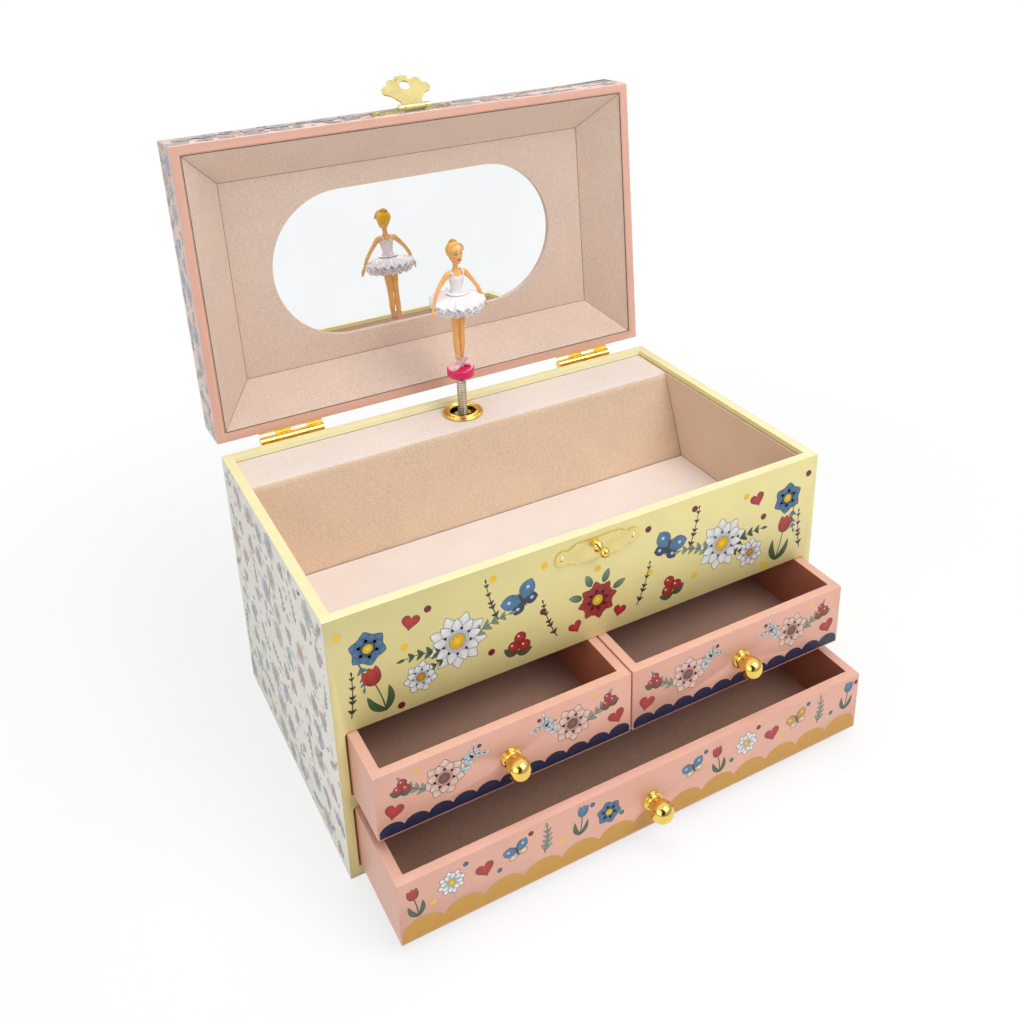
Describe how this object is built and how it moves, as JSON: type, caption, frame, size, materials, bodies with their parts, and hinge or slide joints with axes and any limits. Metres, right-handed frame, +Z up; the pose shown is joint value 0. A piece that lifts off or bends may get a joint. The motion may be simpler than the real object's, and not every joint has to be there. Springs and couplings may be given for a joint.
{
  "type": "ballerina jewellery box",
  "caption": "Musical jewellery box with a lined tray, a hinged mirror lid, drawers, a brass hasp and a dancer on a spring stem turned by a wind-up movement.",
  "frame": {"origin": "centre of the box's underside, on the surface it stands on", "axes": "+X to the right seen from the front, +Y from the front to the hinges, +Z up"},
  "size_m": [0.225, 0.2248, 0.2716],
  "materials": {
    "paper_yellow": "butter-yellow paper over board",
    "paper_print": "pale printed paper over board",
    "lid_paper": "salmon paper over board",
    "lid_top_paper": "ochre-edged printed paper over board",
    "plain_board": "plain board",
    "drawer_paper": "salmon paper over board",
    "drawer_lining": "flocked card",
    "flock": "flocked card",
    "brass": "polished brass",
    "mirror": "silvered",
    "steel": "drawn wire and rod",
    "cast_metal": "die cast",
    "disc_pink": "gloss moulded",
    "dancer_paint": "hand-painted moulding",
    "white_plastic": "moulded"
  },
  "bodies": {
    "box": {"front_frame": "paper_yellow", "bottom_panel": "paper_yellow", "drawer_shelf": "paper_yellow", "left_panel": "paper_print", "right_panel": "paper_print", "back_panel": "paper_print", "tray_deck": "plain_board", "tray_lining_floor": "flock", "tray_lining_walls": "flock", "mechanism_cover": "flock", "spindle_ferrule": "brass", "clasp_plate": "brass", "clasp_post": "brass", "clasp_nails": "brass", "hinge_body_leaf_left": "brass", "hinge_body_leaf_right": "brass", "hinge_pins": "brass", "hinge_body_nails": "brass", "comb": "steel", "movement_screws": "steel", "bedplate": "cast_metal", "winding_gearbox": "cast_metal", "governor": "white_plastic"},
    "lid": {"lid_lining_long": "flock", "lid_lining_ends": "flock", "lid_lining_panel": "flock", "hinge_lid_leaf_left": "brass", "hinge_lid_leaf_right": "brass", "hinge_lid_nails": "brass", "hasp_plate": "brass", "hasp_nails": "brass", "lid_front_rail": "lid_paper", "lid_back_rail": "lid_paper", "lid_side_rails": "lid_paper", "lid_top": "lid_top_paper", "lid_mirror": "mirror"},
    "hasp": {"hasp": "brass"},
    "left_drawer": {"left_drawer_knob": "brass", "left_drawer_front": "drawer_paper", "left_drawer_sides": "drawer_paper", "left_drawer_back": "drawer_paper", "left_drawer_floor": "drawer_lining"},
    "right_drawer": {"right_drawer_knob": "brass", "right_drawer_front": "drawer_paper", "right_drawer_sides": "drawer_paper", "right_drawer_back": "drawer_paper", "right_drawer_floor": "drawer_lining"},
    "lower_drawer": {"lower_drawer_knob": "brass", "lower_drawer_front": "drawer_paper", "lower_drawer_sides": "drawer_paper", "lower_drawer_back": "drawer_paper", "lower_drawer_floor": "drawer_lining"},
    "stem": {"stem_spring": "steel"},
    "dancer": {"dancer_disc": "disc_pink", "dancer": "dancer_paint"},
    "spindle": {"spindle": "steel"},
    "cylinder": {"pinned_cylinder": "steel"},
    "barrel": {"mainspring_barrel": "brass"},
    "key": {"winding_key": "steel"},
    "governor_rotor": {"governor_pinion": "white_plastic"}
  },
  "joints": [
    {"name": "lid_hinge", "type": "hinge", "parent": "box", "child": "lid", "pos_m": [0, 0.071, 0.1205], "axis": [1, 0, 0], "range_deg": [0, 95]},
    {"name": "hasp_hinge", "type": "hinge", "parent": "lid", "child": "hasp", "pos_m": [0, 0.0889, 0.25967], "axis": [1, 0, 0], "range_deg": [-37, 133]},
    {"name": "left_drawer_slide", "type": "slide", "parent": "box", "child": "left_drawer", "axis": [0, -1, 0], "range_m": [-0.025, 0.075]},
    {"name": "right_drawer_slide", "type": "slide", "parent": "box", "child": "right_drawer", "axis": [0, -1, 0], "range_m": [-0.025, 0.075]},
    {"name": "lower_drawer_slide", "type": "slide", "parent": "box", "child": "lower_drawer", "axis": [0, -1, 0], "range_m": [-0.04, 0.06]},
    {"name": "stem_bend", "type": "hinge", "parent": "box", "child": "stem", "pos_m": [0, 0.053, 0.1279], "axis": [1, 0, 0], "range_deg": [0, 100], "deforming": ["stem_spring"]},
    {"name": "dancer_spin", "type": "hinge", "parent": "stem", "child": "dancer", "pos_m": [0, 0.053, 0.1386], "axis": [0, 0, 1], "continuous": true},
    {"name": "spindle_spin", "type": "hinge", "parent": "box", "child": "spindle", "pos_m": [0, 0.053, 0.1084], "axis": [0, 0, 1], "continuous": true},
    {"name": "barrel_spin", "type": "hinge", "parent": "box", "child": "barrel", "pos_m": [0.01593, 0.0442, 0.085], "axis": [0, 0, 1], "continuous": true},
    {"name": "cylinder_spin", "type": "hinge", "parent": "box", "child": "cylinder", "pos_m": [-0.01342, 0.049, 0.085], "axis": [0, 0, 1], "continuous": true},
    {"name": "governor_spin", "type": "hinge", "parent": "box", "child": "governor_rotor", "pos_m": [-0.0261, 0.04308, 0.085], "axis": [0, 0, 1], "continuous": true},
    {"name": "key_turn", "type": "hinge", "parent": "box", "child": "key", "pos_m": [0.01593, 0.067, 0.0997], "axis": [0, -1, 0], "range_deg": [0, 1710]}
  ],
  "couplings": [
    {"joint": "stem_bend", "follows": "lid_hinge", "ratio": 1.0526},
    {"joint": "spindle_spin", "follows": "barrel_spin", "ratio": -3.3333},
    {"joint": "dancer_spin", "follows": "barrel_spin", "ratio": -3.3333},
    {"joint": "cylinder_spin", "follows": "barrel_spin", "ratio": 1.4286},
    {"joint": "governor_spin", "follows": "barrel_spin", "ratio": -3.3333}
  ]
}
